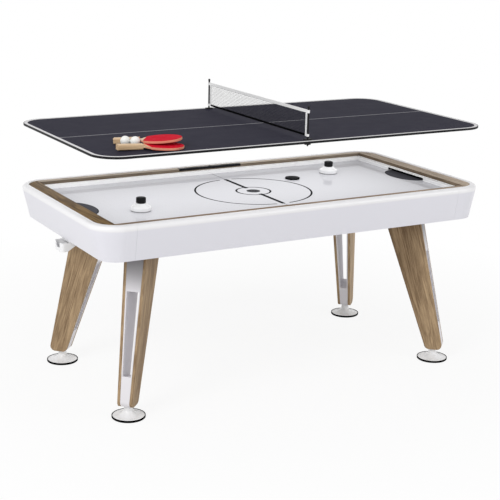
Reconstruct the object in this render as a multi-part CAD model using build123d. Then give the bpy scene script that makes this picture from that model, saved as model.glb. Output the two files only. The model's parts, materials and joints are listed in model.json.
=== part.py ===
from build123d import *
import os
from math import atan2, cos, degrees, radians, sin

# Driving dimensions in millimetres. Origin on the floor under the table's centre,
# +X along the table, +Y away from the player at the near side, +Z up.

# Overall table
table_length = 1829.0
table_width = 914.0
rail_top = 805.0
overrun = 2.0
fit_gap = 0.3

# Aprons
apron_bottom = 664.0
apron_end_lean = 34.5
apron_side_lean = 21.0
apron_corner = 118.0
apron_corner_low = 76.0
apron_wall = 12.0
apron_seat = 4.5
lip_width = 27.0
lip_round = 15.0
lip_proud = 2.5
seam_from_end = 155.5
seam_gap = 0.4

# Wooden top rails
rail_thick = 14.0
end_rail_width = 61.5
side_rail_width = 32.0
rail_edge_round = 1.5

# Walls and bumper ledge round the playfield
wall_height = 18.0
ledge_height = 16.0
ledge_width = 14.0
ledge_round = 3.0
goal_width = 270.0
goal_height = 12.5

# Cabinet
cabinet_end_gap = 8.0
cabinet_side_gap = 1.5
cabinet_corner = 100.0
field_thick = 6.0
tray_height = 40.0
tray_floor = 6.0
tray_wall = 18.0
tray_rib = 12.0
rib_count = 4
air_hole = 90.0

# Puck returns
drop_depth = 42.0
chute_wall = 3.0
neck_length = 54.0
scoop_width = 82.0
scoop_reach = 20.0
scoop_drop = 52.0
scoop_rim_drop = 16.0
scoop_floor = 26.0
scoop_heel = 14.0
scoop_round = 14.0
notch_width = 40.0
notch_rise = 14.0
notch_round = 8.0
chute_clearance = 4.0

# Scorer
scorer_length = 318.0
scorer_depth = 18.0
scorer_height = 11.0
scorer_proud = 1.5
scorer_round = 1.5
scorer_gap = 0.3
display_length = 64.0
display_from_centre = 92.0
display_sink = 0.8
button_radius = 5.0
button_proud = 2.5
button_travel = 1.2
button_depth = 4.0
button_gap = 0.25
button_crown = 3.0

# Legs
foot_from_end = 162.5
foot_from_side = 102.5
leg_low = 51.0
leg_low_width = 77.0
leg_top_width = 170.0
leg_top_inset = 186.0
leg_low_offset = 10.0
leg_corner = 22.0
board_thick = 12.0
lining_thick = 5.0
leg_gap_top = 74.0
leg_gap_low = 37.5
top_block_share = 0.36
low_block_share = 0.835
bolt_radius = 4.0
bolt_head_radius = 7.5
bolt_head = 5.0
bolt_length = 46.0
bolt_spread = 70.0
bolt_clearance = 0.3

# Levellers
foot_radius = 64.3
ring_radius = 67.5
ring_height = 9.0
ring_floor = 3.0
foot_rim = 8.0
bell_waist_radius = 19.0
bell_waist_height = 29.0
bell_neck_radius = 16.0
bell_hollow = 4.5
stem_radius = 6.0
stem_length = 62.0
stem_clearance = 0.1
foot_travel = 15.0
insert_radius = 14.0
insert_flange = 2.0
insert_barrel_radius = 8.5
insert_barrel = 18.0

# Blower
blower_radius = 78.0
blower_height = 56.0
blower_wall = 3.0
guard_ring_count = 3
guard_slot = 6.0
guard_rib = 4.0
guard_inner = 34.0
guard_bridge_count = 6
outlet_flange = 12.0
motor_radius = 27.0
motor_height = 26.0
motor_shaft_radius = 3.0
wheel_radius = 62.0
wheel_blade_depth = 12.0
wheel_blade_thick = 1.6
wheel_blade_count = 28
wheel_blade_angle = 30.0
wheel_disc = 2.5
wheel_ring = 2.0
wheel_clearance = 3.0
hub_radius = 9.0
hub_height = 12.0
shaft_clearance = 0.05

# Power inlet
inlet_length = 48.0
inlet_depth = 27.0
inlet_height = 30.0
inlet_x = 480.0
inlet_socket_length = 25.0
inlet_socket_height = 17.0
inlet_socket_depth = 14.0
inlet_socket_round = 5.5
inlet_pin_radius = 1.6
inlet_pin_spread = 7.0

# Pushers and puck
pusher_radius = 42.0
pusher_height = 54.5
felt_height = 3.0
felt_inset = 1.2
skirt_height = 12.0
shoulder_radius = 24.0
shoulder_height = 31.0
knob_radius = 20.0
knob_waist = 3.0
knob_round = 4.0
knob_spigot_radius = 9.0
knob_spigot = 11.0
left_pusher_from_end = 322.5
left_pusher_y = -126.0
right_pusher_from_end = 406.5
right_pusher_y = 187.0
air_gap = 0.3
puck_radius = 33.0
puck_height = 6.5
puck_round = 1.2
puck_x = 287.0
puck_y = 145.0

# Tennis top, shown lifted off
top_end_inset = 12.5
top_side_inset = 4.5
top_thick = 9.0
top_corner = 108.0
top_surface = 1068.0
band_thick = 1.6

# Net
post_from_edge = 32.0
post_height = 136.0
post_radius = 3.6
post_foot_length = 34.0
post_foot_width = 18.0
post_foot_height = 5.0
post_foot_round = 6.0
post_tip_radius = 4.6
post_tip_height = 9.0
post_stud_radius = 3.0
post_stud_reach = 16.0
stud_clearance = 0.2
nut_radius = 13.0
nut_height = 9.0
nut_lobes = 5
nut_lobe_radius = 3.0
net_top = 120.0
net_low = 14.0
net_hem = 12.0
net_end_gap = 11.0
net_thick = 1.0
net_rows = 7
net_columns = 24
net_thread = 2.0
tape_height = 12.0
tape_thick = 3.0
end_tape_width = 8.0
loop_radius = 5.2
loop_height = 10.0

# Bats and balls
bat_radius = 75.0
bat_stretch = 80.0
bat_ply = 6.0
bat_rubber = 2.0
bat_rubber_inset = 1.0
bat_rubber_end = 64.0
handle_start = 85.0
handle_length = 100.0
handle_width = 29.0
handle_waist = 24.0
handle_thick = 22.0
handle_round = 5.0
neck_width = 71.0
neck_start = 49.0
neck_end = 86.6
front_bat_from_end = 299.0
front_bat_from_side = 100.5
front_bat_lift = 8.2
front_bat_turn_angle = -4.5
front_bat_tilt_angle = 2.1
back_bat_from_end = 314.0
back_bat_from_side = 149.5
back_bat_lift = 25.5
back_bat_turn_angle = -35.0
back_bat_tilt_angle = -4.4
ball_radius = 19.0
ball_wall = 0.8
low_ball_from_end = 185.0
low_ball_from_side = 199.0
high_ball_from_end = 216.0
high_ball_from_side = 175.5

# Derived places
half_length = table_length / 2
half_width = table_width / 2
lip_top = rail_top + lip_proud
rail_low = rail_top - rail_thick
rail_half_x = half_length - lip_width
rail_half_y = half_width - lip_width
rail_corner = apron_corner - lip_width
well_x = rail_half_x - end_rail_width
well_y = rail_half_y - side_rail_width
field_top = rail_low - wall_height
field_low = field_top - field_thick
tray_low = field_low - tray_height
cabinet_x = rail_half_x - apron_seat - cabinet_end_gap
cabinet_y = rail_half_y - apron_seat - cabinet_side_gap
drop_out = well_x + drop_depth
foot_x = half_length - foot_from_end
foot_y = half_width - foot_from_side
blower_top = tray_low
half_top_x = half_length - top_end_inset
half_top_y = half_width - top_side_inset
top_low = top_surface - top_thick
post_from_centre = half_top_y - post_from_edge
net_half = post_from_centre - net_end_gap


def plate(half_x, half_y, corner, z):
    return Pos(0, 0, z) * RectangleRounded(2 * half_x, 2 * half_y, corner)


def slab(half_x, half_y, corner, low, high):
    return extrude(plate(half_x, half_y, corner, low), amount=high - low)


def block(x0, x1, y0, y1, z0, z1):
    size = (x1 - x0, y1 - y0, z1 - z0)
    return Pos((x0 + x1) / 2, (y0 + y1) / 2, (z0 + z1) / 2) * Box(*size)


def turned(points, x=0.0, y=0.0, z=0.0):
    # A closed profile of radius and height pairs turned about the vertical.
    face = make_face(Plane.XZ * Polyline(*points, close=True))
    return Pos(x, y, z) * revolve(face, Axis.Z)


def tapered(inset_low, inset_high):
    # The aprons' leaning body up to the rails, moved inwards by the insets.
    low_x = half_length - apron_end_lean - inset_low
    low_y = half_width - apron_side_lean - inset_low
    bottom = plate(low_x, low_y, apron_corner_low - inset_low, apron_bottom)
    high_x = half_length - inset_high
    high_y = half_width - inset_high
    top = plate(high_x, high_y, apron_corner - inset_high, rail_low)
    return loft([bottom, top], ruled=True)


# Aprons: one leaning ring with a wide rounded lip and a seat that carries the rails, cut
# into two sides and two U-shaped ends
def apron_ring():
    body = tapered(0, 0) + slab(half_length, half_width, apron_corner, rail_low, lip_top)
    rim = [e for e in body.edges() if abs(e.center().Z - lip_top) < fit_gap]
    body = fillet(rim, lip_round)
    core = tapered(apron_wall, lip_width + apron_seat)
    core += slab(rail_half_x, rail_half_y, rail_corner, rail_low, lip_top)
    return body - core


def aprons():
    ring = apron_ring()
    reach = half_length + overrun
    deep = half_width + overrun
    cut = half_length - seam_from_end - seam_gap / 2
    ends = cut + seam_gap
    high = lip_top + overrun
    low = apron_bottom - overrun
    return {
        "side_apron_near": ring & block(-cut, cut, -deep, 0, low, high),
        "side_apron_far": ring & block(-cut, cut, 0, deep, low, high),
        "end_apron_left": ring & block(-reach, -ends, -deep, deep, low, high),
        "end_apron_right": ring & block(ends, reach, -deep, deep, low, high),
    }


# Wooden rails: a rounded slab inside the lip with a square well, cut at the well's corners
def rails():
    outer = slab(rail_half_x - fit_gap, rail_half_y - fit_gap, rail_corner - fit_gap, rail_low, rail_top)
    upper = [e for e in outer.edges() if abs(e.center().Z - rail_top) < fit_gap]
    outer = fillet(upper, rail_edge_round)
    ring = outer - block(-well_x, well_x, -well_y, well_y, rail_low - overrun, rail_top + overrun)
    low, high = rail_low - overrun, rail_top + overrun
    reach, deep = half_length, half_width
    far = ring & block(-well_x, well_x, 0, deep, low, high)
    return {
        "side_rail_near": ring & block(-well_x, well_x, -deep, 0, low, high),
        "side_rail_far": far - scorer_pocket(),
        "end_rail_left": ring & block(-reach, -well_x, -deep, deep, low, high),
        "end_rail_right": ring & block(well_x, reach, -deep, deep, low, high),
    }


# Walls: each is a profile with a bumper ledge, and the end ones are two cheeks with a
# lintel over the goal slot between them
def side_wall(sign):
    outer = cabinet_y
    inner = well_y
    ledge = well_y - ledge_width
    profile = Polyline(
        (outer, field_top), (outer, rail_low), (inner, rail_low),
        (inner, field_top + ledge_height), (ledge, field_top + ledge_height),
        (ledge, field_top), close=True)
    bar = extrude(Plane.YZ * make_face(profile), amount=well_x, both=True)
    nose = [e for e in bar.edges().filter_by(Axis.X)
            if abs(e.center().Y - ledge) < fit_gap and e.center().Z > field_top + fit_gap]
    bar = fillet(nose, ledge_round) & slab(cabinet_x, cabinet_y, cabinet_corner, field_top, rail_low)
    return bar if sign > 0 else mirror(bar, Plane.XZ)


def end_wall(sign):
    ledge = well_x - ledge_width
    profile = Polyline(
        (cabinet_x, field_top), (cabinet_x, rail_low), (well_x, rail_low),
        (well_x, field_top + ledge_height), (ledge, field_top + ledge_height),
        (ledge, field_top), close=True)
    bar = extrude(Plane.XZ * make_face(profile), amount=cabinet_y, both=True)
    nose = [e for e in bar.edges().filter_by(Axis.Y)
            if abs(e.center().X - ledge) < fit_gap and e.center().Z > field_top + fit_gap]
    bar = fillet(nose, ledge_round)
    # The ledge stops where the side ledges run, and the corner follows the cabinet.
    deep = cabinet_y + overrun
    side_ledge = well_y - ledge_width
    for way in (-1, 1):
        lo, hi = sorted((way * side_ledge, way * deep))
        bar -= block(ledge - overrun, well_x, lo, hi, field_top - overrun, rail_low + overrun)
    bar &= slab(cabinet_x, cabinet_y, cabinet_corner, field_top, rail_low)
    half_goal = goal_width / 2
    slot_low, slot_high = field_top - overrun, field_top + goal_height
    bar -= block(ledge - overrun, drop_out, -half_goal, half_goal, slot_low, slot_high)
    pieces = []
    for lo, hi in ((-deep, -half_goal), (-half_goal, half_goal), (half_goal, deep)):
        piece = bar & block(ledge - overrun, cabinet_x + overrun, lo, hi, slot_low, rail_low + overrun)
        pieces.append(piece if sign > 0 else mirror(piece, Plane.YZ))
    return Compound(children=pieces)


def walls():
    return {
        "wall_near": side_wall(-1),
        "wall_far": side_wall(1) - scorer_pocket(),
        "wall_left": end_wall(-1),
        "wall_right": end_wall(1),
    }


# Playfield: a thin sheet with a drop hole behind each goal
def playfield():
    sheet = slab(cabinet_x, cabinet_y, cabinet_corner, field_low, field_top)
    half_goal = goal_width / 2
    for way in (-1, 1):
        lo, hi = sorted((way * well_x, way * drop_out))
        sheet -= block(lo, hi, -half_goal, half_goal, field_low - overrun, field_top + overrun)
    return sheet


# Plenum tray: a shallow box under the sheet, notched at each end for the puck return
def plenum_tray():
    notch = drop_out - overrun - neck_length - chute_wall - chute_clearance
    side = goal_width / 2 + chute_wall + chute_clearance
    outer = slab(cabinet_x, cabinet_y, cabinet_corner, tray_low, field_low)
    inner = slab(
        cabinet_x - tray_wall, cabinet_y - tray_wall, cabinet_corner - tray_wall,
        tray_low + tray_floor, field_low + overrun)
    reach = cabinet_x + overrun
    for way in (-1, 1):
        lo, hi = sorted((way * notch, way * reach))
        outer -= block(lo, hi, -side, side, tray_low - overrun, field_low + overrun)
        lo, hi = sorted((way * (notch - tray_wall), way * reach))
        wide = side + tray_wall
        inner -= block(lo, hi, -wide, wide, tray_low, field_low + 2 * overrun)
    tray = outer - inner
    pitch = 2 * (notch - tray_wall) / (rib_count + 1)
    rib_low = tray_low + tray_floor
    rib_high = field_low
    rib_deep = cabinet_y - tray_wall
    for i in range(rib_count):
        x = -notch + tray_wall + (i + 1) * pitch
        rib = block(x - tray_rib / 2, x + tray_rib / 2, -rib_deep, rib_deep, rib_low, rib_high)
        slot_low, slot_high = rib_low + tray_floor, rib_high - tray_floor
        slot = block(x - tray_rib, x + tray_rib, -rib_deep / 2, rib_deep / 2, slot_low, slot_high)
        tray += rib - slot
    tray -= Pos(0, 0, tray_low) * Cylinder(air_hole / 2, 4 * tray_floor)
    for _, sign_x, sign_y in corners():
        for x in leg_bolt_places():
            hole = Pos(x, 0, tray_low) * Cylinder(bolt_radius + bolt_clearance, 4 * tray_floor)
            tray -= leg_frame(sign_x, sign_y) * hole
    return tray


# Puck return: a hopper behind the goal narrows to a neck, and a scoop below it runs out
# under the apron, open on top beyond the neck and notched at its outer end
def puck_return(sign):
    high = apron_bottom
    low = high - scoop_drop
    rim = high - scoop_rim_drop
    neck_out = drop_out - overrun
    neck_in = neck_out - neck_length
    out = half_length - apron_end_lean + scoop_reach
    wide = goal_width - 2 * fit_gap
    depth = drop_depth - 2 * fit_gap

    def hopper(wall):
        top = Pos((well_x + drop_out) / 2, 0, field_low) * Rectangle(depth - 2 * wall, wide - 2 * wall)
        neck = Pos((neck_in + neck_out) / 2, 0, high) * Rectangle(
            neck_length - 2 * wall, scoop_width - 2 * wall)
        return loft([neck, top], ruled=True) + extrude(top, amount=field_thick)

    def scoop(points, half, corner, end):
        body = extrude(Plane.XZ * make_face(Polyline(*points, close=True)), amount=half, both=True)
        upright = [e for e in body.edges().filter_by(Axis.Z) if abs(e.center().X - end) < fit_gap]
        return fillet(upright, corner)

    outer = scoop([
        (neck_in, high), (neck_in, high - scoop_heel), (out - scoop_floor, low), (out, low),
        (out, rim), (neck_out, rim), (neck_out, high)], scoop_width / 2, scoop_round, out)
    inside = out - chute_wall
    inner = scoop([
        (neck_in + chute_wall, high + overrun), (neck_in + chute_wall, high - scoop_heel + chute_wall),
        (out - scoop_floor, low + chute_wall), (inside, low + chute_wall), (inside, rim + overrun),
        (neck_out, rim + overrun), (neck_out, rim), (neck_out - chute_wall, rim),
        (neck_out - chute_wall, high + overrun)],
        scoop_width / 2 - chute_wall, scoop_round - chute_wall, inside)
    notch = block(
        inside - overrun, out + overrun, -notch_width / 2, notch_width / 2,
        low + notch_rise, rim + notch_round + overrun)
    notch = fillet(notch.edges().filter_by(Axis.X), notch_round)
    pieces = [hopper(0) - hopper(chute_wall), outer - inner - notch]
    return Compound(children=[p if sign > 0 else mirror(p, Plane.YZ) for p in pieces])


# Scorer: a low black case let into the inner edge of the far rail
def scorer_span(gap, low, high):
    inner = well_y - overrun if gap else well_y
    half = scorer_length / 2 + gap
    return block(-half, half, inner, well_y + scorer_depth + gap, low, high)


def scorer_pocket():
    return scorer_span(scorer_gap, rail_top + scorer_proud - scorer_height, rail_top + overrun)


def scorer_case():
    low = rail_top + scorer_proud - scorer_height
    high = rail_top + scorer_proud
    case = scorer_span(0, low, high)
    case = fillet([e for e in case.edges() if abs(e.center().Z - high) < fit_gap], scorer_round)
    mid = well_y + scorer_depth / 2
    half_window = scorer_depth / 2 - scorer_round * 2
    for way in (-1, 1):
        x = way * display_from_centre
        case -= block(
            x - display_length / 2, x + display_length / 2, mid - half_window, mid + half_window,
            high - display_sink, high + overrun)
    hole = button_radius + button_gap
    return case - Pos(0, mid, high) * Cylinder(hole, 2 * (button_depth + button_travel + button_gap))


def scorer_button():
    high = rail_top + scorer_proud
    low = high - button_depth
    mid = well_y + scorer_depth / 2
    shape = [
        (0, low), (button_radius, low), (button_radius, high + button_proud / 2),
        (button_crown, high + button_proud), (0, high + button_proud)]
    return turned(shape, 0, mid)


# Legs, drawn in the vertical plane that holds the table's diagonal at 45 degrees
leg_height = tray_low - leg_low


def leg_frame(sign_x, sign_y):
    # Local X runs outwards along the diagonal and local Z stays up.
    turn = degrees(atan2(sign_y, sign_x))
    return Pos(sign_x * foot_x, sign_y * foot_y, 0) * Rot(0, 0, turn)


def leg_outline():
    low_in = leg_low_offset - leg_low_width / 2
    low_out = leg_low_offset + leg_low_width / 2
    top_in = -leg_top_inset - leg_top_width / 2
    top_out = -leg_top_inset + leg_top_width / 2
    face = make_face(Plane.XZ * Polyline(
        (low_in, leg_low), (low_out, leg_low), (top_out, tray_low), (top_in, tray_low), close=True))
    body = extrude(face, amount=leg_gap_top, both=True)
    low_edges = [e for e in body.edges().filter_by(Axis.Y) if abs(e.center().Z - leg_low) < fit_gap]
    return fillet(low_edges, leg_corner)


def leg_wedge(extra):
    # The tapering space between the boards, widened by the extra on each side.
    low_half = leg_gap_low / 2 + extra
    top_half = leg_gap_top / 2 + extra
    profile = Polyline(
        (-low_half, leg_low), (low_half, leg_low), (top_half, tray_low), (-top_half, tray_low), close=True)
    reach = leg_top_inset + leg_top_width
    return extrude(Plane.YZ * make_face(profile), amount=reach, both=True)


def leg_cut(share, above):
    # Half space above or below a plane square to the leg's axis, at a share of the way down.
    lean = atan2(leg_top_inset + leg_low_offset, leg_height)
    z = tray_low - share * leg_height
    x = -leg_top_inset + share * (leg_top_inset + leg_low_offset)
    size = 2 * leg_height
    shift = size / 2 if above else -size / 2
    return Pos(x, 0, z) * Rot(0, -degrees(lean), 0) * Pos(0, 0, shift) * Box(size, size, size)


def leg_bolt_places():
    return [-leg_top_inset - bolt_spread / 2, -leg_top_inset + bolt_spread / 2]


def leg_boards():
    return (leg_outline() & leg_wedge(board_thick)) - leg_wedge(0)


def leg_blocks():
    # The white core: linings on the boards' inner faces, joined by a block at each end.
    inside = leg_outline() & leg_wedge(0)
    linings = inside - leg_wedge(-lining_thick)
    upper = inside & leg_cut(top_block_share, True)
    lower = inside & leg_cut(low_block_share, False)
    core = linings + upper + lower - insert_hole(0, leg_low, stem_radius, stem_length)
    for x in leg_bolt_places():
        core -= insert_hole(x, tray_low, bolt_radius, bolt_length)
    return core


def insert_hole(x, face, bore, reach):
    # A stepped hole, open at the face, for a flanged insert and what screws through it.
    hole = Cylinder(insert_radius + fit_gap, 2 * insert_flange)
    hole += Cylinder(insert_barrel_radius + fit_gap, 2 * insert_barrel)
    hole += Cylinder(bore + fit_gap, 2 * reach)
    return Pos(x, 0, face) * hole


def legs():
    boards = leg_boards()
    blocks = leg_blocks()
    pieces = {}
    for name, sign_x, sign_y in corners():
        place = leg_frame(sign_x, sign_y)
        pieces["leg_boards_" + name] = place * boards
        pieces["leg_blocks_" + name] = place * blocks
    return pieces


def corners():
    return (
        ("near_left", -1, -1), ("near_right", 1, -1),
        ("far_left", -1, 1), ("far_right", 1, 1))


# Hardware: bolts that hang each leg from the tray, screwed into flanged inserts in its top,
# and the insert that each leveller screws into
def leg_bolt(x):
    head_low = tray_low + tray_floor
    tip = tray_low - bolt_length + fit_gap
    return turned([
        (0, tip), (bolt_radius, tip), (bolt_radius, tray_low - insert_barrel),
        (insert_barrel_radius, tray_low - insert_barrel), (insert_barrel_radius, tray_low - insert_flange),
        (insert_radius, tray_low - insert_flange), (insert_radius, tray_low), (bolt_radius, tray_low),
        (bolt_radius, head_low), (bolt_head_radius, head_low), (bolt_head_radius, head_low + bolt_head),
        (0, head_low + bolt_head)], x)


def stem_insert():
    bore = stem_radius + stem_clearance
    return turned([
        (bore, leg_low), (insert_radius, leg_low), (insert_radius, leg_low + insert_flange),
        (insert_barrel_radius, leg_low + insert_flange), (insert_barrel_radius, leg_low + insert_barrel),
        (bore, leg_low + insert_barrel)])


def leg_hardware():
    pieces = [leg_bolt(x) for x in leg_bolt_places()] + [stem_insert()]
    return Compound(children=[
        leg_frame(sign_x, sign_y) * piece for _, sign_x, sign_y in corners() for piece in pieces])


# Levellers: a bell-shaped foot on a threaded stem, standing in a rubber ring
def foot():
    stop = leg_low - fit_gap
    tip = stop + stem_length
    rim = (foot_radius, foot_rim)
    waist = (bell_waist_radius, bell_waist_height)
    hollow = (
        (foot_radius + bell_waist_radius) / 2 - bell_hollow,
        (foot_rim + bell_waist_height) / 2 - bell_hollow)
    with BuildPart() as made:
        with BuildSketch(Plane.XZ):
            with BuildLine():
                Polyline((0, ring_floor), (foot_radius, ring_floor), rim)
                ThreePointArc(rim, hollow, waist)
                Polyline(
                    waist, (bell_neck_radius, stop), (stem_radius, stop), (stem_radius, tip), (0, tip),
                    (0, ring_floor))
            make_face()
        revolve(axis=Axis.Z)
    return made.part


def foot_ring():
    inner = foot_radius + fit_gap / 2
    hole = bell_waist_radius
    return turned([
        (hole, 0), (ring_radius - ring_floor / 2, 0), (ring_radius, ring_floor / 2),
        (ring_radius, ring_height), (inner, ring_height), (inner, ring_floor), (hole, ring_floor)])


# Blower: a round housing under the tray with a slotted guard, a motor and a bladed wheel
def blower_housing():
    low = blower_top - blower_height
    inner = blower_radius - blower_wall
    flange = blower_radius + outlet_flange
    shell = turned([
        (0, low), (blower_radius, low), (blower_radius, blower_top - blower_wall),
        (flange, blower_top - blower_wall), (flange, blower_top),
        (inner, blower_top), (inner, low + blower_wall), (0, low + blower_wall)])
    bridge = 360 / guard_bridge_count
    for ring in range(guard_ring_count):
        start = guard_inner + ring * (guard_slot + guard_rib)
        mid = start + guard_slot / 2
        sweep_share = 1 - 2 * guard_rib / (mid * radians(bridge))
        for i in range(guard_bridge_count):
            middle = i * bridge
            half = bridge * sweep_share / 2
            shell -= ring_sector(start, start + guard_slot, middle - half, middle + half, low, blower_wall)
    return shell


def ring_sector(inner, outer, from_deg, to_deg, low, thick):
    def at(radius, angle):
        return (radius * cos(radians(angle)), radius * sin(radians(angle)))

    mid = (from_deg + to_deg) / 2
    edges = [
        ThreePointArc(at(outer, from_deg), at(outer, mid), at(outer, to_deg)),
        Line(at(outer, to_deg), at(inner, to_deg)),
        ThreePointArc(at(inner, to_deg), at(inner, mid), at(inner, from_deg)),
        Line(at(inner, from_deg), at(outer, from_deg))]
    return Pos(0, 0, low - overrun) * extrude(make_face(edges), amount=thick + 2 * overrun)


def motor_base():
    return blower_top - blower_height + blower_wall


def blower_motor():
    low = motor_base()
    high = low + motor_height
    tip = wheel_top() + wheel_disc
    return turned([
        (0, low), (motor_radius, low), (motor_radius, high), (hub_radius, high),
        (hub_radius, high + wheel_ring / 2), (motor_shaft_radius, high + wheel_ring / 2),
        (motor_shaft_radius, tip), (0, tip)])


def wheel_top():
    return blower_top - wheel_clearance - 2 * wheel_disc


def blower_impeller():
    disc_low = wheel_top()
    disc_high = disc_low + wheel_disc
    low = motor_base() + wheel_clearance
    bore = motor_shaft_radius + shaft_clearance
    hub_low = motor_base() + motor_height + wheel_ring
    wheel = turned([
        (bore, hub_low), (hub_radius, hub_low), (hub_radius, disc_low), (wheel_radius, disc_low),
        (wheel_radius, disc_high), (bore, disc_high)])
    inner = wheel_radius - wheel_blade_depth
    wheel += turned([
        (inner, low), (wheel_radius, low), (wheel_radius, low + wheel_ring), (inner, low + wheel_ring)])
    blade_long = wheel_blade_depth - wheel_blade_thick
    radius = wheel_radius - wheel_blade_depth / 2
    for i in range(wheel_blade_count):
        blade = block(
            -blade_long / 2, blade_long / 2, -wheel_blade_thick / 2, wheel_blade_thick / 2,
            low + wheel_ring, disc_low)
        angle = 360 * i / wheel_blade_count
        wheel += Rot(0, 0, angle) * Pos(radius, 0, 0) * Rot(0, 0, wheel_blade_angle) * blade
    return wheel


# Power inlet: a recessed two-pin socket on the tray's underside at the far side
def power_inlet():
    far = cabinet_y - tray_wall
    front = far - inlet_depth
    mid = tray_low - inlet_height / 2
    body = block(
        inlet_x - inlet_length / 2, inlet_x + inlet_length / 2, front, far, tray_low - inlet_height, tray_low)
    mouth = block(
        inlet_x - inlet_socket_length / 2, inlet_x + inlet_socket_length / 2, front - overrun,
        front + inlet_socket_depth, mid - inlet_socket_height / 2, mid + inlet_socket_height / 2)
    mouth = fillet(mouth.edges().filter_by(Axis.Y), inlet_socket_round)
    body -= mouth
    for way in (-1, 1):
        pin = Rot(90, 0, 0) * Cylinder(inlet_pin_radius, inlet_socket_depth - overrun)
        body += Pos(
            inlet_x + way * inlet_pin_spread / 2, front + (inlet_socket_depth + overrun) / 2, mid) * pin
    return body


# Pushers and puck, which float an air gap above the field
def pusher(x, y):
    base_low = field_top + air_gap
    round_off = (pusher_radius - shoulder_radius) / 2
    felt = turned([
        (0, 0), (pusher_radius - felt_inset, 0), (pusher_radius - felt_inset, felt_height), (0, felt_height)],
        x, y, base_low)
    with BuildPart() as base:
        with BuildSketch(Plane.XZ):
            with BuildLine():
                skirt = (pusher_radius, skirt_height)
                shoulder = (shoulder_radius, shoulder_height)
                Polyline((0, felt_height), (pusher_radius, felt_height), skirt)
                JernArc(skirt, (0, 1), round_off, 90)
                Line((pusher_radius - round_off, skirt_height + round_off), shoulder)
                Polyline(
                    shoulder, (knob_spigot_radius, shoulder_height),
                    (knob_spigot_radius, shoulder_height - knob_spigot), (0, shoulder_height - knob_spigot),
                    (0, felt_height))
            make_face()
        revolve(axis=Axis.Z)
    knob = turned([
        (0, shoulder_height - knob_spigot), (knob_spigot_radius, shoulder_height - knob_spigot),
        (knob_spigot_radius, shoulder_height), (knob_radius - knob_waist, shoulder_height),
        (knob_radius, shoulder_height + knob_waist), (knob_radius, pusher_height), (0, pusher_height)])
    rim = [e for e in knob.edges() if abs(e.center().Z - pusher_height) < fit_gap]
    knob = fillet(rim, knob_round)
    place = Pos(x, y, base_low)
    return {"base": place * base.part, "felt": felt, "knob": place * knob}


def puck():
    disc = Pos(puck_x, puck_y, field_top + air_gap + puck_height / 2) * Cylinder(puck_radius, puck_height)
    return fillet(disc.edges().filter_by(GeomType.CIRCLE), puck_round)


# Tennis top: a board with an edge band, carrying the net on two posts
def tennis_board():
    board = slab(
        half_top_x - band_thick, half_top_y - band_thick, top_corner - band_thick, top_low, top_surface)
    for way in (-1, 1):
        hole = Cylinder(post_stud_radius + stud_clearance, 4 * top_thick)
        board -= Pos(0, way * post_from_centre, top_surface) * hole
    return board


def tennis_edge_band():
    outer = slab(half_top_x, half_top_y, top_corner, top_low, top_surface)
    rims = [e for e in outer.edges() if min(abs(e.center().Z - z) for z in (top_low, top_surface)) < fit_gap]
    outer = chamfer(rims, band_thick / 2)
    inner = slab(
        half_top_x - band_thick, half_top_y - band_thick, top_corner - band_thick,
        top_low - overrun, top_surface + overrun)
    return outer - inner


def net_post(sign):
    y = sign * post_from_centre
    foot_high = top_surface + post_foot_height
    tip_low = top_surface + post_height - post_tip_height
    rod = turned([
        (0, foot_high), (post_radius, foot_high), (post_radius, tip_low), (post_tip_radius, tip_low),
        (post_tip_radius, tip_low + post_tip_height - post_radius / 2),
        (post_radius / 2, top_surface + post_height), (0, top_surface + post_height)], 0, y)
    pad = block(
        -post_foot_length / 2, post_foot_length / 2, y - post_foot_width / 2, y + post_foot_width / 2,
        top_surface, foot_high)
    pad = fillet(pad.edges().filter_by(Axis.Z), post_foot_round)
    stud_low = top_low - post_stud_reach
    stud = Pos(0, y, (stud_low + top_surface) / 2) * Cylinder(post_stud_radius, top_surface - stud_low)
    return rod + pad + stud


def net_nut(sign):
    y = sign * post_from_centre
    high = top_low - fit_gap
    low = high - nut_height
    nut = turned([(0, low), (nut_radius, low), (nut_radius, high), (0, high)], 0, y)
    lobe = Cylinder(nut_lobe_radius, 2 * nut_height)
    for i in range(nut_lobes):
        angle = radians(360 * i / nut_lobes)
        nut -= Pos(nut_radius * cos(angle), y + nut_radius * sin(angle), (low + high) / 2) * lobe
    bore = post_stud_radius + shaft_clearance
    return nut - Pos(0, y, low) * Cylinder(bore, 4 * nut_height)


# Net: one flat sheet with a grid of openings over a hem, under a folded tape
def net_mesh():
    low = top_surface + net_low
    high = top_surface + net_top - tape_height
    half = net_half - end_tape_width
    sheet = block(-net_thick / 2, net_thick / 2, -half, half, low, high)
    grid_low = low + net_hem
    step_y = (2 * half - net_thread) / net_columns
    step_z = (high - grid_low - net_thread) / net_rows
    holes = []
    for column in range(net_columns):
        y = -half + net_thread / 2 + (column + 0.5) * step_y
        for row in range(net_rows):
            z = grid_low + net_thread / 2 + (row + 0.5) * step_z
            holes.append(Pos(0, y, z) * Box(2 * net_thick, step_y - net_thread, step_z - net_thread))
    return sheet - holes


def net_tape():
    high = top_surface + net_top
    reach = post_from_centre
    low = top_surface + net_low
    tape = block(-tape_thick / 2, tape_thick / 2, -reach, reach, high - tape_height, high)
    for way in (-1, 1):
        lo, hi = sorted((way * (net_half - end_tape_width), way * net_half))
        tape += block(-tape_thick / 2, tape_thick / 2, lo, hi, low, high - tape_height)
        lo, hi = sorted((way * net_half, way * reach))
        tape += block(-tape_thick / 2, tape_thick / 2, lo, hi, low, low + loop_height)
        for loop_low, tall in ((high - tape_height, tape_height), (low, loop_height)):
            tape += Pos(0, way * reach, loop_low + tall / 2) * Cylinder(loop_radius, tall)
        bore = Cylinder(post_radius + fit_gap, 2 * net_top)
        tape -= Pos(0, way * reach, high) * bore
    return tape


# Places on the tennis top are measured from its left end and its near side
def on_top(from_end, from_side, lift):
    return Pos(from_end - half_top_x, from_side - half_top_y, top_surface + lift)


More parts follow.
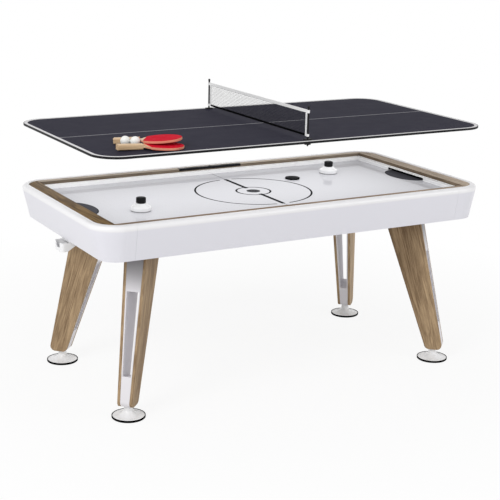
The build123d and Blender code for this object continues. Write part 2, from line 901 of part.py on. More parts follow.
# Bats: a ply blade with a neck and handle, and a sheet of rubber on each face
def blade_face(inset):
    radius = bat_radius - inset
    return scale(Circle(radius), by=(bat_stretch / bat_radius, 1, 1))


def bat_wood():
    neck = make_face(Polyline(
        (-neck_end, -handle_waist / 2), (-neck_start, -neck_width / 2), (-neck_start, neck_width / 2),
        (-neck_end, handle_waist / 2), close=True))
    ply = extrude(blade_face(0) + neck, amount=bat_ply / 2, both=True)
    end = handle_start + handle_length
    grip = make_face(Polyline(
        (-handle_start, -handle_waist / 2), (-handle_start, handle_waist / 2), (-end, handle_width / 2),
        (-end, -handle_width / 2), close=True))
    handle = extrude(grip, amount=handle_thick / 2, both=True)
    long_edges = [e for e in handle.edges() if e.length > handle_length - fit_gap]
    return ply + fillet(long_edges, handle_round)


def bat_rubbers():
    crop = Pos(bat_radius, 0) * Rectangle(2 * (bat_radius + bat_rubber_end), 4 * bat_radius)
    sheet = blade_face(bat_rubber_inset) & crop
    upper = extrude(Pos(0, 0, bat_ply / 2) * sheet, amount=bat_rubber)
    lower = extrude(Pos(0, 0, -bat_ply / 2 - bat_rubber) * sheet, amount=bat_rubber)
    return Compound(children=[upper, lower])


def bats():
    # The front bat lies on its handle and blade tip, and the back one leans on its blade.
    wood = bat_wood()
    rubber = bat_rubbers()
    pieces = {}
    for name, from_end, from_side, lift, turn, tilt in (
            ("front_bat", front_bat_from_end, front_bat_from_side, front_bat_lift,
             front_bat_turn_angle, front_bat_tilt_angle),
            ("back_bat", back_bat_from_end, back_bat_from_side, back_bat_lift,
             back_bat_turn_angle, back_bat_tilt_angle)):
        place = on_top(from_end, from_side, lift) * Rot(0, 0, turn) * Rot(0, tilt, 0)
        pieces[name + "_wood"] = place * wood
        pieces[name + "_rubber"] = place * rubber
    return pieces


def ball(from_end, from_side):
    shell = Sphere(ball_radius) - Sphere(ball_radius - ball_wall)
    return on_top(from_end, from_side, ball_radius + fit_gap) * shell


def build():
    pieces = {}
    pieces.update(aprons())
    pieces.update(rails())
    pieces.update(walls())
    pieces["playfield"] = playfield()
    pieces["plenum_tray"] = plenum_tray()
    pieces["puck_return_left"] = puck_return(-1)
    pieces["puck_return_right"] = puck_return(1)
    pieces["scorer_case"] = scorer_case()
    pieces["scorer_button"] = scorer_button()
    pieces.update(legs())
    pieces["leg_hardware"] = leg_hardware()
    for name, sign_x, sign_y in corners():
        place = Pos(sign_x * foot_x, sign_y * foot_y, 0)
        pieces["foot_" + name] = place * foot()
        pieces["foot_ring_" + name] = place * foot_ring()
    pieces["blower_housing"] = blower_housing()
    pieces["blower_motor"] = blower_motor()
    pieces["blower_impeller"] = blower_impeller()
    pieces["power_inlet"] = power_inlet()
    for side, x, y in (
            ("left", left_pusher_from_end - half_length, left_pusher_y),
            ("right", half_length - right_pusher_from_end, right_pusher_y)):
        for piece, shape in pusher(x, y).items():
            pieces[side + "_pusher_" + piece] = shape
    pieces["puck"] = puck()
    pieces["tennis_board"] = tennis_board()
    pieces["tennis_edge_band"] = tennis_edge_band()
    for side, sign in (("near", -1), ("far", 1)):
        pieces["net_post_" + side] = net_post(sign)
        pieces["net_nut_" + side] = net_nut(sign)
    pieces["net_mesh"] = net_mesh()
    pieces["net_tape"] = net_tape()
    pieces.update(bats())
    pieces["ball_low"] = ball(low_ball_from_end, low_ball_from_side)
    pieces["ball_high"] = ball(high_ball_from_end, high_ball_from_side)
    return pieces


os.makedirs("parts", exist_ok=True)
for node, shape in build().items():
    export_step(shape, "parts/" + node + ".step")
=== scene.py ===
import json
import math

import bmesh
import bpy
from mathutils import Matrix, Vector

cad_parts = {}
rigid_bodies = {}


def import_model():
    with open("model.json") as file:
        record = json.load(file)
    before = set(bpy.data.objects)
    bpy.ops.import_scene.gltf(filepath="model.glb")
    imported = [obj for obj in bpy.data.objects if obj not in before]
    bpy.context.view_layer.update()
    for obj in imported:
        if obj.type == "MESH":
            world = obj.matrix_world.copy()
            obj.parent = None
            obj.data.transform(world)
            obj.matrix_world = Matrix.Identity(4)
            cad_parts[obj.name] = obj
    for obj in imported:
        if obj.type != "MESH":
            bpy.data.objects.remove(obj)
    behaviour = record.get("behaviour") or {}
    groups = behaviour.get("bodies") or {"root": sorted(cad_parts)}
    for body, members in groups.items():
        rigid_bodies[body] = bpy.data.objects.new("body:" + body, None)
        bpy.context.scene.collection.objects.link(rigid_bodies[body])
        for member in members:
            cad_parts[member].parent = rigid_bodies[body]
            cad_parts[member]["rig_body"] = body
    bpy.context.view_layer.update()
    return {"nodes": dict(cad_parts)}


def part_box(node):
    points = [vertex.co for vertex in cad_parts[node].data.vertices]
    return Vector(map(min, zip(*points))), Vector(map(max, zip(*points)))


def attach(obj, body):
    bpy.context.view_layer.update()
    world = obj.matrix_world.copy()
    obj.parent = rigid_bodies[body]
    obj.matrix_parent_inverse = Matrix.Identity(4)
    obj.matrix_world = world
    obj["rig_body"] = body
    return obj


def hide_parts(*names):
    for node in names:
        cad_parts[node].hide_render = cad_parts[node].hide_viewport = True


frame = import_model()
nodes = frame["nodes"]
print("frame loaded with", len(nodes), "nodes")


def spanOf(node):
    low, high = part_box(node)
    return Vector(low), Vector(high)


def addObject(name, data):
    made = bpy.data.objects.new(name, data)
    bpy.context.scene.collection.objects.link(made)
    return made


# where the photograph was taken from: metres and degrees, lens and sensor in millimetres
viewpoint = {"place": (-2.63968, -4.54965, 1.96123), "yaw": 30.03, "pitch": 15.45, "roll": 1.36,
             "lens": 89.65, "sensor": 36, "reach": 60}


def placeCamera(view):
    yaw, pitch, roll = (math.radians(view[key]) for key in ("yaw", "pitch", "roll"))
    ahead = Vector((math.sin(yaw) * math.cos(pitch), math.cos(yaw) * math.cos(pitch), -math.sin(pitch)))
    level = Vector((math.cos(yaw), -math.sin(yaw), 0))
    upright = level.cross(ahead)
    right = level * math.cos(roll) + upright * math.sin(roll)
    up = upright * math.cos(roll) - level * math.sin(roll)
    data = bpy.data.cameras.new("viewCamera")
    data.sensor_width = view["sensor"]
    data.lens = view["lens"]
    data.clip_end = view["reach"]
    camera = addObject("viewCamera", data)
    turned = Matrix((right, up, -ahead)).transposed().to_4x4()
    camera.matrix_world = Matrix.Translation(view["place"]) @ turned
    bpy.context.scene.camera = camera


placeCamera(viewpoint)
print("camera placed")


# small helpers for shader and geometry trees
def addNode(tree, kind, inputs=None, **settings):
    node = tree.nodes.new(kind)
    for key, value in settings.items():
        setattr(node, key, value)
    for key, value in (inputs or {}).items():
        feed(tree, node.inputs[key], value)
    return node


def feed(tree, socket, value):
    # a socket takes either a plain value or another node's output
    if isinstance(value, bpy.types.NodeSocket):
        tree.links.new(value, socket)
    else:
        socket.default_value = value


def sums(tree, operation, first, second=0.0, third=0.0, clamp=False):
    node = addNode(tree, "ShaderNodeMath", operation=operation, use_clamp=clamp)
    for socket, value in zip(node.inputs, (first, second, third)):
        feed(tree, socket, value)
    return node.outputs[0]


def times(tree, *values):
    result = values[0]
    for value in values[1:]:
        result = sums(tree, "MULTIPLY", result, value)
    return result


def either(tree, *values):
    result = values[0]
    for value in values[1:]:
        result = sums(tree, "MAXIMUM", result, value)
    return result


def opposite(tree, mask):
    return sums(tree, "SUBTRACT", 1.0, mask)


def centred(tree, value):
    # a noise runs from 0 to 1, this turns it round 0
    return sums(tree, "SUBTRACT", value, 0.5)


def below(tree, value, limit, soft):
    # 1 under the limit and 0 over it, fading within soft of it
    return sums(tree, "DIVIDE", sums(tree, "SUBTRACT", limit + soft, value), 2 * soft, clamp=True)


def inBand(tree, value, centre, half, soft):
    # 1 where value lies within half of centre
    return below(tree, sums(tree, "ABSOLUTE", sums(tree, "SUBTRACT", value, centre)), half, soft)


def mixColour(tree, share, first, second, blend="MIX"):
    node = addNode(tree, "ShaderNodeMix", data_type="RGBA", blend_type=blend)
    feed(tree, node.inputs[0], share)
    feed(tree, node.inputs[6], first)  # the colour pair of a mix node has the numbers 6 and 7
    feed(tree, node.inputs[7], second)
    return node.outputs[2]


def objectPlace(tree):
    return addNode(tree, "ShaderNodeTexCoord").outputs["Object"]


def stretch(tree, place, scale):
    return addNode(tree, "ShaderNodeMapping", {"Vector": place, "Scale": scale}).outputs[0]


def noiseAt(tree, place, scale, **settings):
    inputs = {"Vector": place, "Scale": scale}
    inputs.update({key.capitalize(): value for key, value in settings.items()})
    return addNode(tree, "ShaderNodeTexNoise", inputs).outputs["Fac"]


def axesOf(tree, vector):
    return addNode(tree, "ShaderNodeSeparateXYZ", {"Vector": vector}).outputs


def flatLength(tree, x, y):
    flat = addNode(tree, "ShaderNodeCombineXYZ", {"X": x, "Y": y}).outputs[0]
    return addNode(tree, "ShaderNodeVectorMath", {0: flat}, operation="LENGTH").outputs["Value"]


def standsUpright(tree, steepest, soft):
    # 1 on faces that stand upright
    facing = addNode(tree, "ShaderNodeNewGeometry").outputs["Normal"]
    return below(tree, sums(tree, "ABSOLUTE", axesOf(tree, facing)["Z"]), steepest, soft)


def newGroup(name, ins, outs):
    tree = bpy.data.node_groups.new(name, "ShaderNodeTree")
    for label, kind, value in ins:
        socket = tree.interface.new_socket(label, in_out="INPUT", socket_type=kind)
        if value is not None:
            socket.default_value = value
    for label, kind in outs:
        tree.interface.new_socket(label, in_out="OUTPUT", socket_type=kind)
    return tree, addNode(tree, "NodeGroupInput").outputs, addNode(tree, "NodeGroupOutput").inputs


effectOutputs = [("Color", "NodeSocketColor"), ("Roughness", "NodeSocketFloat"),
                 ("Height", "NodeSocketFloat")]

# each texture of the wood: scale along and across the board, detail, roughness, distortion
grainLook = {"broad": (2.2, 21, 3, 0.55, 0.6), "tone": (0.9, 6, 2, 0.5, 0.0), "fine": (7, 260, 4, 0.6, 0.0),
             "pore": (26, 900, 2, 0.5, 0.0), "ringCount": 34, "ringShare": 0.22, "fineShare": 2.4,
             "toneShare": 1.8, "poreFrom": 0.6, "poreGain": 4.0, "poreColour": (0.05, 0.03, 0.02, 1),
             "smoothest": 0.32, "roughShare": 0.25, "heightShare": 0.4}


def makeGrain(look):
    # wood along the first axis of Place: broad figure, fine streaks and open pores
    tree, ins, outs = newGroup("boardGrain", [
        ("Place", "NodeSocketVector", None), ("Light", "NodeSocketColor", (0.5, 0.35, 0.2, 1)),
        ("Dark", "NodeSocketColor", (0.25, 0.15, 0.08, 1)), ("Figure", "NodeSocketFloat", 1.0),
        ("Pores", "NodeSocketFloat", 0.5)], effectOutputs)

    def stretched(along, across, detail, roughness, distortion):
        where = stretch(tree, ins["Place"], (along, across, across))
        return noiseAt(tree, where, 1.0, detail=detail, roughness=roughness, distortion=distortion)

    broad, tone, fine, pore = (stretched(*look[part]) for part in ("broad", "tone", "fine", "pore"))
    rings = sums(tree, "SINE", times(tree, broad, look["ringCount"]))
    blend = sums(tree, "MULTIPLY_ADD", rings, look["ringShare"], 0.5)
    for texture, share in ((fine, look["fineShare"]), (tone, look["toneShare"])):
        blend = sums(tree, "MULTIPLY_ADD", centred(tree, texture), share, blend)
    blend = sums(tree, "MULTIPLY_ADD", centred(tree, blend), ins["Figure"], 0.5, clamp=True)
    colour = mixColour(tree, blend, ins["Dark"], ins["Light"])
    opened = sums(tree, "SUBTRACT", pore, look["poreFrom"], clamp=True)
    opened = times(tree, sums(tree, "MULTIPLY", opened, look["poreGain"], clamp=True), ins["Pores"])
    feed(tree, outs["Color"], mixColour(tree, opened, colour, look["poreColour"]))
    feed(tree, outs["Roughness"], sums(tree, "MULTIPLY_ADD", fine, look["roughShare"], look["smoothest"]))
    feed(tree, outs["Height"], sums(tree, "SUBTRACT", times(tree, fine, look["heightShare"]), opened))
    return tree


toothLook = {"driftScale": 3.0, "driftDetail": 3.0, "toothDetail": 2.0, "sheenScale": 14.0, "sheenDetail": 4.0}


def makeTooth(look):
    # moulded or sprayed surface: slow drift of tone, fine tooth and a little handling sheen
    tree, ins, outs = newGroup("surfaceTooth", [
        ("Place", "NodeSocketVector", None), ("Color", "NodeSocketColor", (0.8, 0.8, 0.8, 1)),
        ("Drift", "NodeSocketFloat", 0.04), ("Tooth", "NodeSocketFloat", 900.0),
        ("Base Roughness", "NodeSocketFloat", 0.4),
        ("Sheen Change", "NodeSocketFloat", 0.08)], effectOutputs)
    slow = noiseAt(tree, ins["Place"], look["driftScale"], detail=look["driftDetail"])
    fine = noiseAt(tree, ins["Place"], ins["Tooth"], detail=look["toothDetail"])
    sheen = noiseAt(tree, ins["Place"], look["sheenScale"], detail=look["sheenDetail"])
    shift = times(tree, centred(tree, slow), ins["Drift"])
    colour = addNode(tree, "ShaderNodeHueSaturation", {
        "Value": sums(tree, "ADD", 1.0, shift), "Color": ins["Color"]})
    feed(tree, outs["Color"], colour.outputs[0])
    feed(tree, outs["Roughness"], sums(
        tree, "MULTIPLY_ADD", centred(tree, sheen), ins["Sheen Change"], ins["Base Roughness"]))
    feed(tree, outs["Height"], fine)
    return tree


grainEffect = makeGrain(grainLook)
toothEffect = makeTooth(toothLook)


def startMaterial(name):
    material = bpy.data.materials.new(name)
    material.use_nodes = True
    tree = material.node_tree
    return material, tree, tree.nodes["Principled BSDF"]


def setSockets(shader, values):
    for label, value in values.items():
        shader.inputs[label].default_value = value


def bumpInto(tree, shader, height, distance):
    bump = addNode(tree, "ShaderNodeBump", {"Height": height, "Distance": distance})
    feed(tree, shader.inputs["Normal"], bump.outputs[0])


def layTooth(tree, place, colour, drift, tooth, roughness, sheenChange):
    return addNode(tree, "ShaderNodeGroup", {
        "Place": place, "Color": (*colour, 1), "Drift": drift, "Tooth": tooth, "Base Roughness": roughness,
        "Sheen Change": sheenChange}, node_tree=toothEffect).outputs


def finishFrom(tree, shader, colour, effect, bump, constants):
    # colour, roughness and bump change over the surface, the constants don't
    feed(tree, shader.inputs["Base Color"], colour)
    feed(tree, shader.inputs["Roughness"], effect["Roughness"])
    bumpInto(tree, shader, effect["Height"], bump)
    setSockets(shader, constants)


def moulded(name, colour, roughness, drift, tooth, bump,
            sheenChange=0.08, coat=0.0, specular=0.5, metallic=0.0):
    # tooth counts per metre, bump is in metres
    material, tree, shader = startMaterial(name)
    effect = layTooth(tree, objectPlace(tree), colour, drift, tooth, roughness, sheenChange)
    finishFrom(tree, shader, effect["Color"], effect, bump, {
        "Metallic": metallic, "Coat Weight": coat, "Coat Roughness": 0.1, "Specular IOR Level": specular})
    return material


def timber(name, light, dark, figure, pores, bump=0.00012, coat=0.0, specular=0.06):
    # grain follows each board's own "grain" attribute
    material, tree, shader = startMaterial(name)
    effect = addNode(tree, "ShaderNodeGroup", {
        "Place": addNode(tree, "ShaderNodeAttribute", attribute_name="grain").outputs["Vector"],
        "Light": (*light, 1), "Dark": (*dark, 1), "Figure": figure, "Pores": pores},
        node_tree=grainEffect).outputs
    finishFrom(tree, shader, effect["Color"], effect, bump, {
        "Coat Weight": coat, "Coat Roughness": 0.25, "Specular IOR Level": specular})
    return material


def layOver(material, makeMask, tone, blend="MULTIPLY"):
    # blends tone into a finish where the mask is 1
    tree = material.node_tree
    base = tree.nodes["Principled BSDF"].inputs["Base Color"]
    plain = base.links[0].from_socket
    feed(tree, base, mixColour(tree, makeMask(tree), plain, (*tone, 1), blend))
    return material


def toneByHeight(material, low, high, tone):
    # multiplies a finish by tone above high, by nothing below low, and evenly between
    def mask(tree):
        up = axesOf(tree, objectPlace(tree))["Z"]
        return sums(tree, "DIVIDE", sums(tree, "SUBTRACT", up, low), high - low, clamp=True)
    return layOver(material, mask, tone)


def toneOnSides(material, look):
    # multiplies a finish by the look's tone on faces that stand upright
    return layOver(material, lambda tree: standsUpright(tree, look["steepest"], look["soft"]), look["tone"])


def shadeInsideGoals(material, inner):
    # paints shade: blackens the part of a finish that lies inside the goals, where the openings lie in shade
    def mask(tree):
        place = axesOf(tree, objectPlace(tree))
        edge = inner["edge"]
        beyond = opposite(tree, below(tree, sums(tree, "ABSOLUTE", place["X"]), inner["x"], edge))
        between = below(tree, sums(tree, "ABSOLUTE", place["Y"]), inner["y"], edge)
        above = opposite(tree, below(tree, place["Z"], inner["low"], edge))
        under = below(tree, place["Z"], inner["high"], edge)
        return times(tree, beyond, between, above, under)
    return layOver(material, mask, inner["tone"], "MIX")


# white parts: aprons, walls, the legs' blocks, and the feet, pushers and puck returns
wallPaint = {"colour": (0.95, 0.95, 0.95), "roughness": 0.35, "drift": 0.02, "tooth": 500, "bump": 0.00001}
castWhite = {"colour": (0.90, 0.90, 0.91), "roughness": 0.24, "drift": 0.02, "tooth": 600, "bump": 0.000005,
             "coat": 0.3}
whiteShell = moulded("whiteShell", (0.78, 0.775, 0.83), roughness=0.34, drift=0.02, tooth=260,
                     bump=0.000002, sheenChange=0.04, coat=0.2)
whiteWall = moulded("whiteWall", **wallPaint)
whiteBlock = moulded("whiteBlock", (0.81, 0.79, 0.82), roughness=0.45, drift=0.03, tooth=400, bump=0.00002)
whitePlastic = moulded("whitePlastic", **castWhite)

# painted shade inside the goals: beyond x, within y, and from low to high
goalShade = {"x": 0.8140, "y": 0.1362, "low": 0.700, "high": 0.7861, "edge": 0.0002,
            "tone": (0.004, 0.004, 0.004)}
endWall = shadeInsideGoals(moulded("endWall", **wallPaint), goalShade)
returnPlastic = shadeInsideGoals(moulded("returnPlastic", **castWhite), goalShade)

# the other plain finishes
trayBoard = moulded("trayBoard", (0.62, 0.58, 0.52), roughness=0.65, drift=0.10, tooth=350, bump=0.00006)
blackGloss = moulded("blackGloss", (0.006, 0.006, 0.008), roughness=0.30, drift=0.05, tooth=900,
                     bump=0.000005, specular=0.12)
blackSatin = moulded("blackSatin", (0.010, 0.010, 0.011), roughness=0.50, drift=0.08, tooth=700,
                     bump=0.00001, specular=0.12)
ringRubber = moulded("ringRubber", (0.003, 0.003, 0.003), roughness=0.85, drift=0.10, tooth=500,
                     bump=0.00002, specular=0.0)
puckBlack = moulded("puckBlack", (0.006, 0.006, 0.007), roughness=0.55, drift=0.10, tooth=700,
                    bump=0.00001, specular=0.03)
feltPad = moulded("feltPad", (0.30, 0.30, 0.31), roughness=0.95, drift=0.20, tooth=1600, bump=0.0002,
                  specular=0.1)
plainSteel = moulded("plainSteel", (0.55, 0.55, 0.57), roughness=0.32, drift=0.06, tooth=1200,
                     bump=0.00002, metallic=1.0)
ballFinish = moulded("ballFinish", (0.95, 0.95, 0.92), roughness=0.45, drift=0.03, tooth=1500, bump=0.00002)

# each rail board's light and dark tone; their upright sides get painted shade, darker than their faces
railTones = {
    "side_rail_near": ((0.40, 0.30, 0.215), (0.19, 0.13, 0.085)),
    "side_rail_far": ((0.56, 0.48, 0.385), (0.31, 0.25, 0.19)),
    "end_rail_left": ((0.265, 0.166, 0.062), (0.066, 0.034, 0.010)),
    "end_rail_right": ((0.54, 0.43, 0.32), (0.25, 0.19, 0.135)),
}
# painted shade on the rails' upright sides: the tone they are multiplied by
railSideShade = {"tone": (0.42, 0.40, 0.38), "steepest": 0.5, "soft": 0.2}


def makeRailOak(node, light, dark):
    oak = timber("railOak" + node.title().replace("_", ""), light, dark, figure=1.2, pores=0.7)
    return toneOnSides(oak, railSideShade)


railOaks = {node: makeRailOak(node, *tones) for node, tones in railTones.items()}
legOak = timber("legOak", (0.55, 0.395, 0.24), (0.20, 0.131, 0.075), figure=0.74, pores=0.8)
batWood = timber("batWood", (0.80, 0.58, 0.35), (0.62, 0.42, 0.24), figure=0.8, pores=0.15,
                 bump=0.00005, coat=0.15, specular=0.5)
batEdge = timber("batEdge", (0.84, 0.38, 0.25), (0.66, 0.26, 0.17), figure=0.6, pores=0.1,
                 bump=0.00003, specular=0.1)

# painted shade on the legs and their blocks under the aprons, darker towards the top, and a painted highlight
# along the top of the aprons' lip
# painted shade: the blocks and leg boards darken towards the top, where the aprons shade them
toneByHeight(whiteBlock, low=0.50, high=0.640, tone=(0.21, 0.21, 0.22))
toneByHeight(legOak, low=0.57, high=0.668, tone=(0.62, 0.59, 0.57))
# painted highlight: the top of the aprons' lip is multiplied lighter than the panels below it
toneByHeight(whiteShell, low=0.782, high=0.790, tone=(1.16, 1.16, 1.10))

# the playfield's print, centred on the table, in metres
fieldLook = {"ring": 0.252, "smallRing": 0.074, "halfLine": 0.0043, "gap": 0.030, "dot": 0.030,
             "creaseDeep": 0.076, "creaseWide": 0.122, "creaseAt": 0.812, "creaseRim": 0.06,
             "lineHalf": 0.0090, "lineThin": 0.0030, "thinShare": 0.5, "lineIn": 0.058, "lineEnd": 0.256,
             "edge": 0.0004, "coat": 0.50, "coatOnInk": -0.45, "sheet": (0.610, 0.610, 0.640),
             "creaseTone": (0.070, 0.070, 0.080, 1), "rimTone": (0.022, 0.022, 0.027, 1),
             "dotTone": (0.055, 0.055, 0.06, 1), "lineTone": (0.012, 0.012, 0.014, 1)}


def makeFieldFinish(name, look):
    # glossy pale sheet with its printed lines
    material, tree, shader = startMaterial(name)
    place = objectPlace(tree)
    x, y = axesOf(tree, place)[:2]
    radius = flatLength(tree, x, y)
    edge = look["edge"]
    bigRing = times(tree, inBand(tree, radius, look["ring"], look["halfLine"], edge),
                    opposite(tree, inBand(tree, x, 0.0, look["gap"], edge)))
    smallRing = inBand(tree, radius, look["smallRing"], look["halfLine"], edge)
    clear = opposite(tree, inBand(tree, y, 0.0, look["lineIn"], edge))
    thick = times(tree, inBand(tree, x, 0.0, look["lineHalf"], edge),
                  inBand(tree, y, 0.0, look["lineEnd"], edge), clear)
    thin = times(tree, inBand(tree, x, 0.0, look["lineThin"], edge), clear, look["thinShare"])
    lines = either(tree, bigRing, smallRing, thick, thin)
    # each crease is half an oval, 1 at its border
    fromEnd = sums(tree, "SUBTRACT", look["creaseAt"], sums(tree, "ABSOLUTE", x))
    oval = flatLength(tree, sums(tree, "DIVIDE", fromEnd, look["creaseDeep"]),
                      sums(tree, "DIVIDE", y, look["creaseWide"]))
    soft = edge / look["creaseDeep"]
    crease = below(tree, oval, 1.0, soft)
    rim = below(tree, opposite(tree, oval), look["creaseRim"], soft)
    dot = below(tree, radius, look["dot"], edge)
    effect = layTooth(tree, place, look["sheet"], drift=0.03, tooth=420.0, roughness=0.30, sheenChange=0.05)
    creaseColour = mixColour(tree, rim, look["creaseTone"], look["rimTone"])
    colour = mixColour(tree, crease, effect["Color"], creaseColour)
    colour = mixColour(tree, dot, colour, look["dotTone"])
    colour = mixColour(tree, lines, colour, look["lineTone"])
    finishFrom(tree, shader, colour, effect, bump=0.000006, constants={
        "Coat Roughness": 0.07, "Specular IOR Level": 0.0})
    # the print is matt, the sheet round it is lacquered
    inked = either(tree, lines, dot, crease)
    coat = sums(tree, "MULTIPLY_ADD", inked, look["coatOnInk"], look["coat"])
    feed(tree, shader.inputs["Coat Weight"], coat)
    return material


# the tennis top's print, in metres
topLook = {"corner": 0.108, "inset": 0.003, "wide": 0.014, "middle": 0.0024, "middleShare": 0.75,
           "edge": 0.0003, "faceDeep": 0.001, "brushStretch": (1.2, 9, 9), "brushScale": 6.0,
           "brushDetail": 6.0, "brushShare": 0.5, "lacquer": (0.019, 0.018, 0.032),
           "brushTone": (0.032, 0.031, 0.047, 1), "middleTone": (0.62, 0.62, 0.64, 1),
           "borderTone": (0.80, 0.79, 0.80, 1)}


def makeTopFinish(name, look):
    # dark brushed lacquer, with a pale border and one thin middle line on its upper face
    corner = spanOf("tennis_edge_band")[1]
    faceHigh = spanOf("tennis_board")[1].z
    material, tree, shader = startMaterial(name)
    place = objectPlace(tree)
    x, y, z = axesOf(tree, place)
    fromEdge = [sums(tree, "SUBTRACT", sums(tree, "ABSOLUTE", value), half - look["corner"])
                for value, half in ((x, corner.x), (y, corner.y))]
    outside = flatLength(tree, *(sums(tree, "MAXIMUM", value, 0.0) for value in fromEdge))
    inside = sums(tree, "MINIMUM", either(tree, *fromEdge), 0.0)
    toRim = sums(tree, "SUBTRACT", look["corner"], sums(tree, "ADD", outside, inside))
    upper = opposite(tree, below(tree, z, faceHigh - look["faceDeep"], look["edge"]))
    halfWide = look["wide"] / 2
    border = times(tree, upper, inBand(tree, toRim, look["inset"] + halfWide, halfWide, look["edge"]))
    middle = times(tree, upper, inBand(tree, y, 0.0, look["middle"], look["edge"]), look["middleShare"])
    brushed = noiseAt(tree, stretch(tree, place, look["brushStretch"]), look["brushScale"],
                      detail=look["brushDetail"])
    effect = layTooth(tree, place, look["lacquer"], drift=0.3, tooth=1100.0, roughness=0.68, sheenChange=0.12)
    colour = mixColour(tree, times(tree, brushed, look["brushShare"]), effect["Color"], look["brushTone"])
    colour = mixColour(tree, middle, colour, look["middleTone"])
    colour = mixColour(tree, border, colour, look["borderTone"])
    finishFrom(tree, shader, colour, effect, bump=0.00003, constants={"Specular IOR Level": 0.05})
    return material


netLook = {"pitch": 0.0062, "thread": 0.00086, "hem": 0.009, "edge": 0.00005, "hemEdge": 0.0001,
           "weave": 1500.0, "dark": (0.002, 0.002, 0.002, 1), "worn": (0.008, 0.008, 0.009, 1)}


def makeNetFinish(name, look):
    # open mesh of thin dark threads, with a solid dark hem along its foot
    foot = spanOf("net_mesh")[0].z
    material, tree, shader = startMaterial(name)
    place = objectPlace(tree)
    y, z = axesOf(tree, place)[1:]
    strands = [inBand(tree, sums(tree, "WRAP", value, look["pitch"], 0.0), look["pitch"] / 2,
                      look["thread"] / 2, look["edge"]) for value in (y, z)]
    hem = below(tree, z, foot + look["hem"], look["hemEdge"])
    weave = noiseAt(tree, place, look["weave"])
    feed(tree, shader.inputs["Base Color"], mixColour(tree, weave, look["dark"], look["worn"]))
    feed(tree, shader.inputs["Alpha"], either(tree, *strands, hem))
    bumpInto(tree, shader, weave, distance=0.0001)
    setSockets(shader, {"Roughness": 0.85, "Specular IOR Level": 0.0})
    return material


tapeLook = {"threads": 900.0, "waver": 0.4, "low": (0.93, 0.93, 0.93, 1), "high": (0.98, 0.98, 0.98, 1)}


def makeTapeFinish(name, look):
    # white woven tape: two crossed sets of fine threads
    material, tree, shader = startMaterial(name)
    waves = {"Vector": objectPlace(tree), "Scale": look["threads"], "Distortion": look["waver"]}
    weave = times(tree, *(addNode(tree, "ShaderNodeTexWave", waves, bands_direction=axis).outputs["Fac"]
                          for axis in ("Y", "Z")))
    feed(tree, shader.inputs["Base Color"], mixColour(tree, weave, look["low"], look["high"]))
    bumpInto(tree, shader, weave, distance=0.00015)
    setSockets(shader, {"Roughness": 0.8})
    return material


rubberLook = {"face": (0.66, 0.006, 0.026), "cutEdge": (0.86, 0.25, 0.18, 1), "steepest": 0.5, "soft": 0.1}


def makeRubberFinish(name, look):
    # red sheet, slightly uneven, with a paler cut edge
    material, tree, shader = startMaterial(name)
    effect = layTooth(tree, objectPlace(tree), look["face"], drift=0.15, tooth=1400.0, roughness=0.62,
                      sheenChange=0.15)
    side = standsUpright(tree, look["steepest"], look["soft"])
    colour = mixColour(tree, side, effect["Color"], look["cutEdge"])
    finishFrom(tree, shader, colour, effect, bump=0.00003, constants={"Specular IOR Level": 0.02})
    return material


fieldFinish = makeFieldFinish("fieldFinish", fieldLook)
topFinish = makeTopFinish("topFinish", topLook)
netFinish = makeNetFinish("netFinish", netLook)
tapeFinish = makeTapeFinish("tapeFinish", tapeLook)
rubberFinish = makeRubberFinish("rubberFinish", rubberLook)
print("finishes made")


def bodyOf(node):
    return nodes[node]["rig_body"]


def plainName(node):
    first, *rest = node.split("_")
    return first + "".join(word.capitalize() for word in rest)


# how a solid's mesh is copied: weld in metres, flat and sharp in degrees
copyLook = {"weld": 0.000002, "flat": 0.3, "sharp": 35, "segments": 2}


def copyNode(node, bevel, sharp):
    shape = bmesh.new()
    shape.from_mesh(nodes[node].data)
    bmesh.ops.remove_doubles(shape, verts=shape.verts, dist=copyLook["weld"])
    bmesh.ops.dissolve_limit(
        shape, angle_limit=math.radians(copyLook["flat"]), verts=shape.verts, edges=shape.edges)
    mesh = bpy.data.meshes.new(plainName(node))
    shape.to_mesh(mesh)
    shape.free()
    piece = addObject(plainName(node), mesh)
    mesh.polygons.foreach_set("use_smooth", [True] * len(mesh.polygons))
    mesh.set_sharp_from_angle(angle=math.radians(sharp))
    if bevel:
        soften = piece.modifiers.new("softEdges", "BEVEL")
        soften.width = bevel
        soften.segments = copyLook["segments"]
        soften.limit_method = "ANGLE"
        soften.angle_limit = math.radians(sharp)
        soften.harden_normals = True
    return piece


def dress(node, material, slot, bevel=0.0, sharp=copyLook["sharp"]):
    piece = copyNode(node, bevel, sharp)
    piece.data.materials.append(material)
    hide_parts(node)
    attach(piece, bodyOf(node))
    return piece


def repaint(node, material):
    data = nodes[node].data
    for index in range(len(data.materials)):
        data.materials[index] = material


def layGrain(piece, along, across, start=(0, 0, 0), shift=0.0):
    # writes each point's place along, across and through the board
    along, across = Vector(along).normalized(), Vector(across).normalized()
    through = along.cross(across)
    places = piece.data.attributes.new("grain", "FLOAT_VECTOR", "POINT")
    origin = Vector(start)
    for vertex in piece.data.vertices:
        away = vertex.co - origin
        places.data[vertex.index].vector = (
            away.dot(along) + shift, away.dot(across) + shift, away.dot(through))


apronLook = {"bevel": 0.0003}
for node in ("side_apron_near", "side_apron_far", "end_apron_left", "end_apron_right"):
    dress(node, whiteShell, "white_panel", apronLook["bevel"])

railLook = {"bevel": 0.0006, "shiftEach": 0.83}
lengthwise, crosswise = (1, 0, 0), (0, 1, 0)
for count, (node, railOak) in enumerate(railOaks.items(), 1):
    rail = dress(node, railOak, "wood_rail", railLook["bevel"])
    ways = (lengthwise, crosswise) if node.startswith("side") else (crosswise, lengthwise)
    layGrain(rail, *ways, shift=railLook["shiftEach"] * count)

